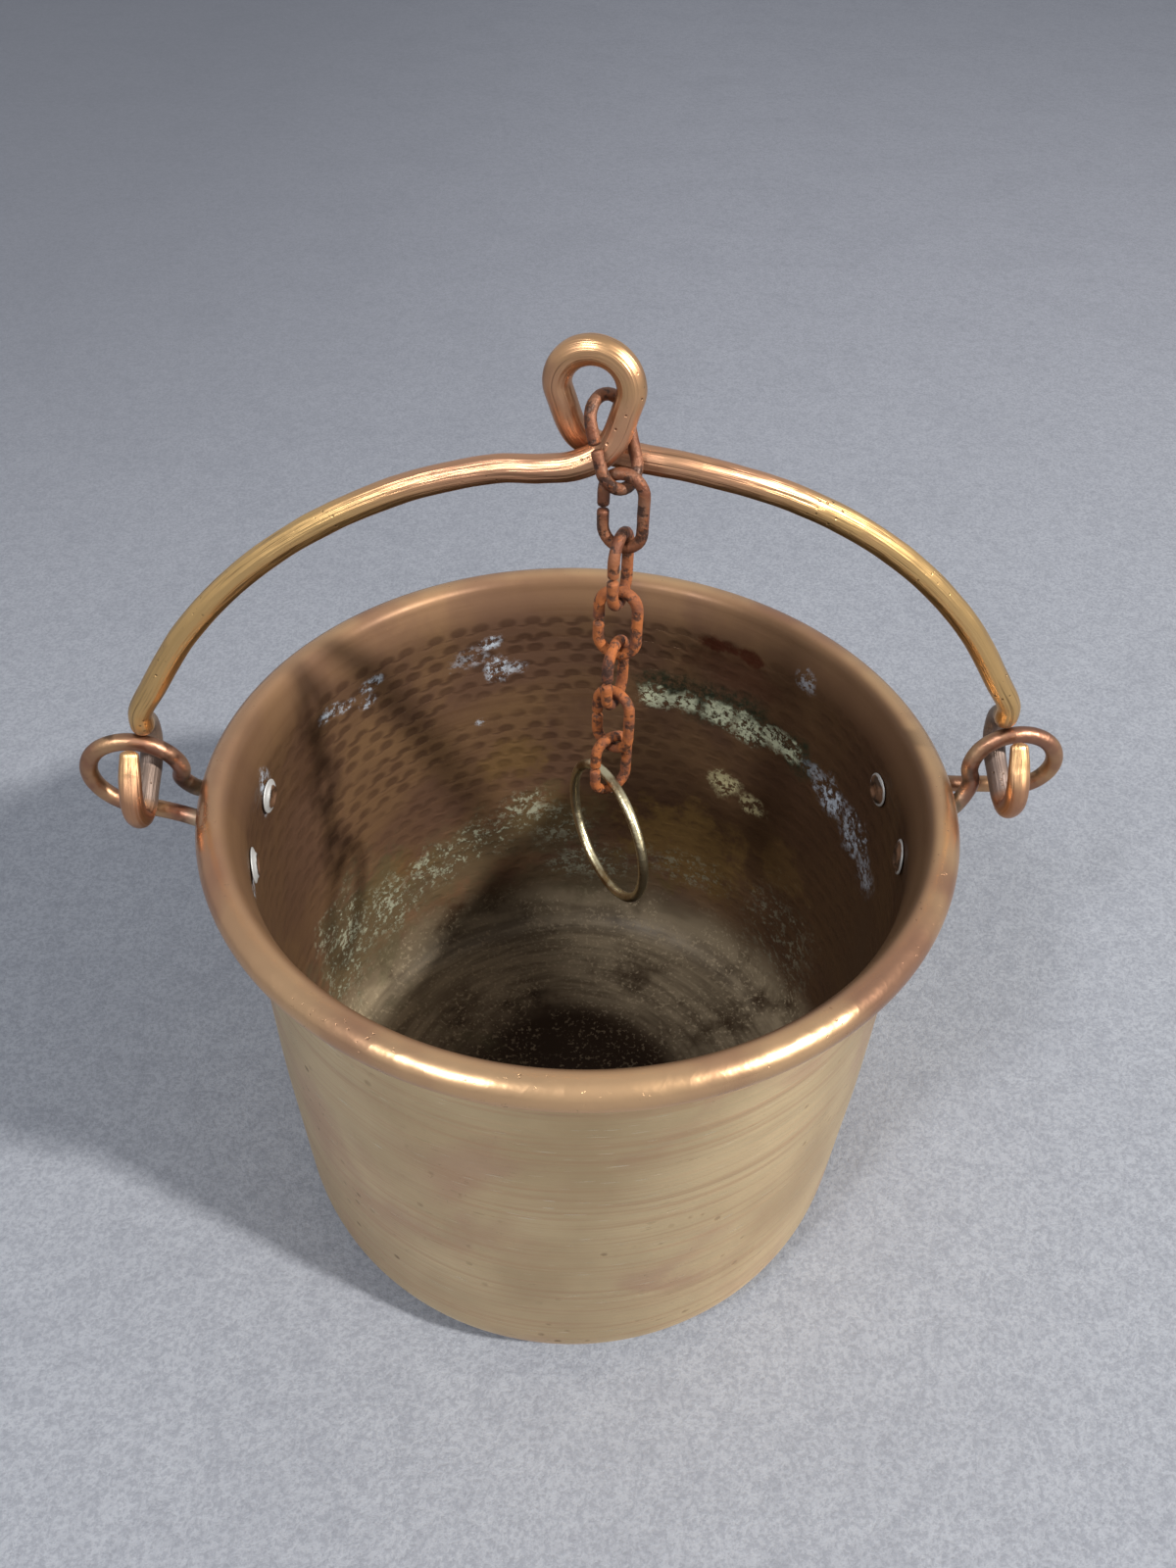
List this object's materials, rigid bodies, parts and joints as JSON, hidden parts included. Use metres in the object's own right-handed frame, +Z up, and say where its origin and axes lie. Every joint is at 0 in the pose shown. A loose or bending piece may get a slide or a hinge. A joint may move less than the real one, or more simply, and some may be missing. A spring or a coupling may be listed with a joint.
{
  "type": "bronze pot",
  "caption": "Hammered metal kettle with a rolled rim, wire ears, a hooked bail twisted into a loop, and a chain of wire links ending in a ring.",
  "frame": {"origin": "on the floor, under the vessel's axis", "axes": "+Z up along the vessel's axis, +X through the right ear, +Y away from the viewer"},
  "size_m": [0.2866, 0.2196, 0.3072],
  "materials": {
    "vessel_brass": "hammered and rubbed, with a brown patina inside",
    "brown_bronze": "worn, coppery brown",
    "bail_brass": "worn bright, with coppery patches",
    "rusty_iron": "orange-brown rust",
    "dark_iron": "bare iron wire",
    "tinned_brass": "tinned, dull silver",
    "pale_brass": "pale, worn"
  },
  "bodies": {
    "pot": {"vessel": "vessel_brass", "rim_core_wire": "dark_iron", "right_ear": "brown_bronze", "left_ear": "brown_bronze", "right_ear_rivet_rear": "tinned_brass", "right_ear_rivet_front": "tinned_brass", "left_ear_rivet_rear": "tinned_brass", "left_ear_rivet_front": "tinned_brass"},
    "bail": {"bail": "bail_brass"},
    "chain_link_1": {"chain_link_1": "rusty_iron"},
    "chain_link_2": {"chain_link_2": "rusty_iron"},
    "chain_link_3": {"chain_link_3": "rusty_iron"},
    "chain_link_4": {"chain_link_4": "rusty_iron"},
    "chain_link_5": {"chain_link_5": "rusty_iron"},
    "chain_link_6": {"chain_link_6": "rusty_iron"},
    "chain_link_7": {"chain_link_7": "rusty_iron"},
    "hanging_ring": {"hanging_ring": "pale_brass"}
  },
  "joints": [
    {"name": "bail_hinge", "type": "hinge", "parent": "pot", "child": "bail", "pos_m": [0, 0, 0.1894], "axis": [1, 0, 0], "range_deg": [-90, 3]},
    {"name": "chain_link_1_swing", "type": "hinge", "parent": "bail", "child": "chain_link_1", "pos_m": [0.0052, -0.0039, 0.284], "axis": [0.6381, 0.0598, 0.7677], "range_deg": [-20, 0]},
    {"name": "chain_link_2_swing", "type": "hinge", "parent": "chain_link_1", "child": "chain_link_2", "pos_m": [0.00819, -0.00834, 0.27446], "axis": [0.7359, 0.6679, -0.111], "range_deg": [-30, 30]},
    {"name": "chain_link_3_swing", "type": "hinge", "parent": "chain_link_2", "child": "chain_link_3", "pos_m": [0.00819, -0.00834, 0.25881], "axis": [0.9136, -0.4067, 0], "range_deg": [-30, 30]},
    {"name": "chain_link_4_swing", "type": "hinge", "parent": "chain_link_3", "child": "chain_link_4", "pos_m": [0.00819, -0.00834, 0.24281], "axis": [0.4067, 0.9136, 0], "range_deg": [-30, 30]},
    {"name": "chain_link_5_swing", "type": "hinge", "parent": "chain_link_4", "child": "chain_link_5", "pos_m": [0.00819, -0.00834, 0.22681], "axis": [0.9397, -0.342, 0], "range_deg": [-30, 30]},
    {"name": "chain_link_6_swing", "type": "hinge", "parent": "chain_link_5", "child": "chain_link_6", "pos_m": [0.00819, -0.00834, 0.21081], "axis": [0.4695, 0.8829, 0], "range_deg": [-30, 30]},
    {"name": "chain_link_7_swing", "type": "hinge", "parent": "chain_link_6", "child": "chain_link_7", "pos_m": [0.00819, -0.00834, 0.19481], "axis": [0.809, -0.5878, 0], "range_deg": [-30, 30]},
    {"name": "hanging_ring_swing", "type": "hinge", "parent": "chain_link_7", "child": "hanging_ring", "pos_m": [0.00819, -0.00834, 0.17881], "axis": [0.8829, 0.4695, 0], "range_deg": [-40, 40]}
  ]
}
